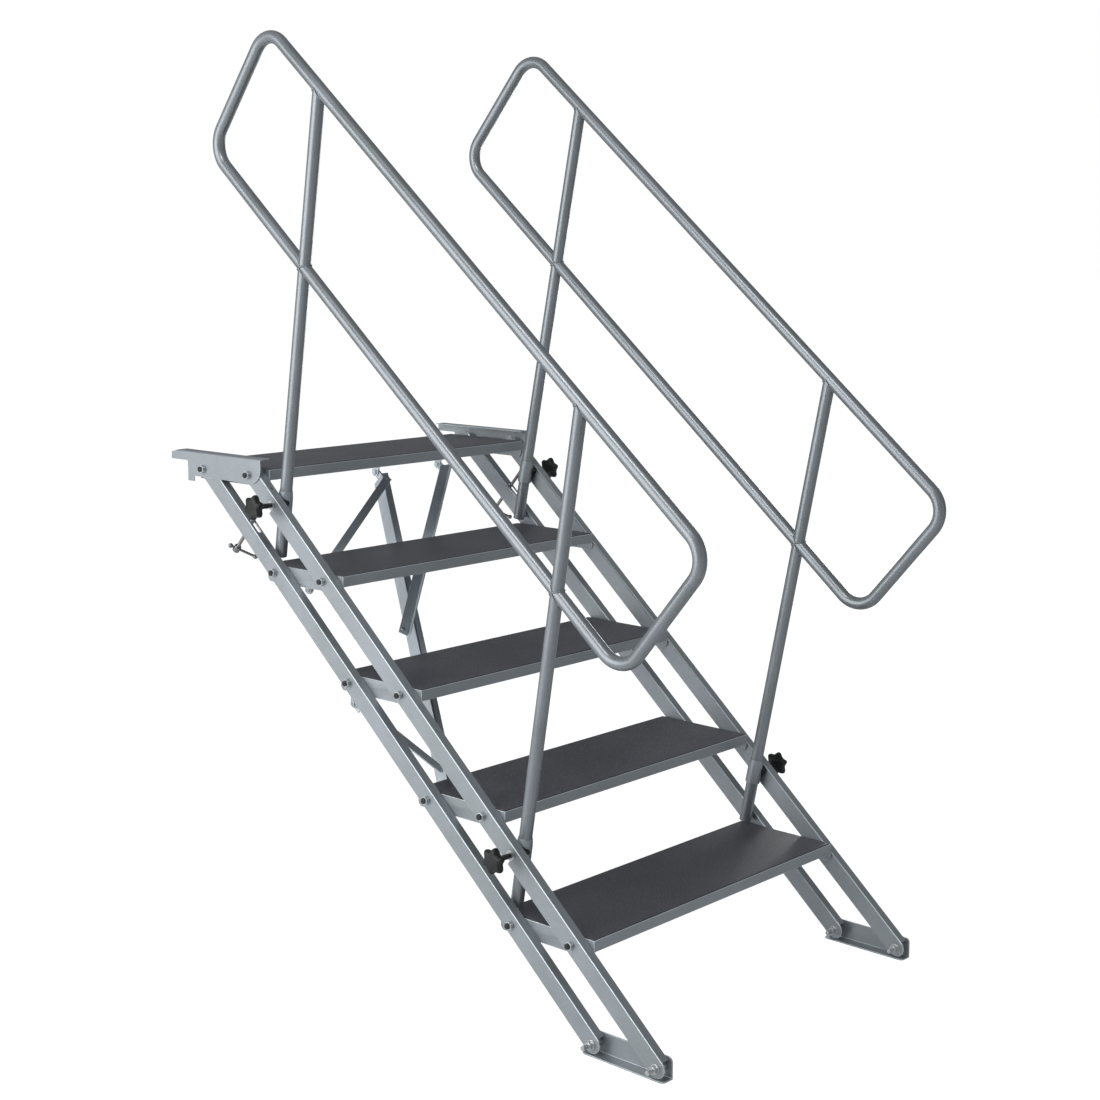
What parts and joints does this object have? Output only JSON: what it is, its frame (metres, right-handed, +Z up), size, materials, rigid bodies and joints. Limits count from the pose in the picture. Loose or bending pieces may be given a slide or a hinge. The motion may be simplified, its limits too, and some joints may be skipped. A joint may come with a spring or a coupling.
{
  "type": "stage stairs",
  "caption": "Height-adjustable stage stairs: level treads between parallelogram rails, angle feet, hook plates and two bent-tube handrails with knobs.",
  "frame": {"origin": "on the floor under the middle of the bounding box", "axes": "+Z up, +Y the way up the stair, X across it"},
  "size_m": [0.958, 1.5246, 1.9817],
  "materials": {
    "grey_paint": "satin silver-grey coat",
    "zinc_plated": "bright zinc",
    "film_faced_board": "dark film face with a fine grip grain",
    "black_plastic": "matt moulded"
  },
  "bodies": {
    "feet": {"foot_left": "grey_paint", "foot_right": "grey_paint", "foot_bolt_front_left": "zinc_plated", "foot_bolt_rear_left": "zinc_plated", "foot_bolt_front_right": "zinc_plated", "foot_bolt_rear_right": "zinc_plated"},
    "upper_rails": {"rail_upper_left": "grey_paint", "rail_upper_right": "grey_paint", "clamp_sleeve_rear_left": "grey_paint", "clamp_saddle_rear_left": "black_plastic", "clamp_sleeve_front_left": "grey_paint", "clamp_saddle_front_left": "black_plastic", "clamp_sleeve_rear_right": "grey_paint", "clamp_saddle_rear_right": "black_plastic", "clamp_sleeve_front_right": "grey_paint", "clamp_saddle_front_right": "black_plastic"},
    "lower_rails": {"rail_lower_left": "grey_paint", "rail_lower_right": "grey_paint"},
    "bracing": {"brace_angle_long": "grey_paint", "brace_angle_short": "grey_paint", "brace_flat_upper": "grey_paint", "brace_flat_lower": "grey_paint", "brace_bolt_upper": "zinc_plated", "brace_bolt_short": "zinc_plated"},
    "tread_1": {"tread_frame_1": "grey_paint", "tread_panel_1": "film_faced_board"},
    "tread_2": {"tread_frame_2": "grey_paint", "tread_panel_2": "film_faced_board", "brace_bracket_low": "grey_paint"},
    "tread_3": {"tread_frame_3": "grey_paint", "tread_panel_3": "film_faced_board"},
    "tread_4": {"tread_frame_4": "grey_paint", "tread_panel_4": "film_faced_board"},
    "tread_5": {"tread_frame_5": "grey_paint", "tread_panel_5": "film_faced_board", "hook_bracket_left": "grey_paint", "hook_bracket_right": "grey_paint", "brace_bracket_top": "grey_paint", "brace_bracket_side": "grey_paint"},
    "handrail_left": {"handrail_loop_left": "grey_paint", "handrail_upright_rear_left": "grey_paint", "handrail_post_rear_left": "grey_paint", "handrail_upright_front_left": "grey_paint", "handrail_post_front_left": "grey_paint"},
    "knob_rear_left": {"clamp_knob_rear_left": "black_plastic"},
    "knob_front_left": {"clamp_knob_front_left": "black_plastic"},
    "spindle_left": {"lock_spindle_left": "zinc_plated"},
    "cross_bar_left": {"lock_bar_left": "zinc_plated"},
    "handrail_right": {"handrail_loop_right": "grey_paint", "handrail_upright_rear_right": "grey_paint", "handrail_post_rear_right": "grey_paint", "handrail_upright_front_right": "grey_paint", "handrail_post_front_right": "grey_paint"},
    "knob_rear_right": {"clamp_knob_rear_right": "black_plastic"},
    "knob_front_right": {"clamp_knob_front_right": "black_plastic"},
    "spindle_right": {"lock_spindle_right": "zinc_plated"},
    "cross_bar_right": {"lock_bar_right": "zinc_plated"}
  },
  "joints": [
    {"name": "slope", "type": "hinge", "parent": "feet", "child": "upper_rails", "pos_m": [0, -0.67529, 0.024], "axis": [1, 0, 0], "range_deg": [-20, 1]},
    {"name": "lower_rail_slope", "type": "hinge", "parent": "feet", "child": "lower_rails", "pos_m": [0, -0.51529, 0.024], "axis": [1, 0, 0], "range_deg": [-20, 1]},
    {"name": "tread_1_level", "type": "hinge", "parent": "upper_rails", "child": "tread_1", "pos_m": [0, -0.46231, 0.21111], "axis": [1, 0, 0], "range_deg": [-1, 20]},
    {"name": "tread_2_level", "type": "hinge", "parent": "upper_rails", "child": "tread_2", "pos_m": [0, -0.22566, 0.41901], "axis": [1, 0, 0], "range_deg": [-1, 20]},
    {"name": "tread_3_level", "type": "hinge", "parent": "upper_rails", "child": "tread_3", "pos_m": [0, 0.01099, 0.62691], "axis": [1, 0, 0], "range_deg": [-1, 20]},
    {"name": "tread_4_level", "type": "hinge", "parent": "upper_rails", "child": "tread_4", "pos_m": [0, 0.24764, 0.83481], "axis": [1, 0, 0], "range_deg": [-1, 20]},
    {"name": "tread_5_level", "type": "hinge", "parent": "upper_rails", "child": "tread_5", "pos_m": [0, 0.48429, 1.04271], "axis": [1, 0, 0], "range_deg": [-1, 20]},
    {"name": "bracing_turn", "type": "hinge", "parent": "tread_5", "child": "bracing", "pos_m": [0, 0.68473, 0.98121], "axis": [1, 0, 0], "range_deg": [-20, 1]},
    {"name": "handrail_left_lift", "type": "slide", "parent": "upper_rails", "child": "handrail_left", "axis": [-0.021, -0.1821, 0.9831], "range_m": [-0.0035, 0.065]},
    {"name": "knob_rear_left_turn", "type": "hinge", "parent": "upper_rails", "child": "knob_rear_left", "pos_m": [-0.45, 0.41235, 0.98218], "axis": [1, 0, 0], "continuous": true},
    {"name": "knob_front_left_turn", "type": "hinge", "parent": "upper_rails", "child": "knob_front_left", "pos_m": [-0.45, -0.30211, 0.35451], "axis": [1, 0, 0], "continuous": true},
    {"name": "spindle_left_turn", "type": "hinge", "parent": "upper_rails", "child": "spindle_left", "pos_m": [-0.41, 0.43658, 1.0008], "axis": [0, -0.66, 0.7513], "continuous": true},
    {"name": "cross_bar_left_slide", "type": "slide", "parent": "spindle_left", "child": "cross_bar_left", "axis": [0.7314, -0.5124, -0.4501], "range_m": [-0.031, 0.001]},
    {"name": "handrail_right_lift", "type": "slide", "parent": "upper_rails", "child": "handrail_right", "axis": [0.021, -0.1821, 0.9831], "range_m": [-0.0035, 0.065]},
    {"name": "knob_rear_right_turn", "type": "hinge", "parent": "upper_rails", "child": "knob_rear_right", "pos_m": [0.45, 0.41235, 0.98218], "axis": [1, 0, 0], "continuous": true},
    {"name": "knob_front_right_turn", "type": "hinge", "parent": "upper_rails", "child": "knob_front_right", "pos_m": [0.45, -0.30211, 0.35451], "axis": [1, 0, 0], "continuous": true},
    {"name": "spindle_right_turn", "type": "hinge", "parent": "upper_rails", "child": "spindle_right", "pos_m": [0.413, 0.43658, 1.0008], "axis": [0, -0.66, 0.7513], "continuous": true},
    {"name": "cross_bar_right_slide", "type": "slide", "parent": "spindle_right", "child": "cross_bar_right", "axis": [0.7314, -0.5124, -0.4501], "range_m": [-0.031, 0.001]}
  ],
  "couplings": [
    {"joint": "lower_rail_slope", "follows": "slope", "ratio": 1},
    {"joint": "tread_1_level", "follows": "slope", "ratio": -1},
    {"joint": "tread_2_level", "follows": "slope", "ratio": -1},
    {"joint": "tread_3_level", "follows": "slope", "ratio": -1},
    {"joint": "tread_4_level", "follows": "slope", "ratio": -1},
    {"joint": "tread_5_level", "follows": "slope", "ratio": -1},
    {"joint": "bracing_turn", "follows": "slope", "ratio": 1},
    {"joint": "handrail_left_lift", "follows": "slope", "m_per_rad": -0.175},
    {"joint": "handrail_right_lift", "follows": "slope", "m_per_rad": -0.175}
  ]
}
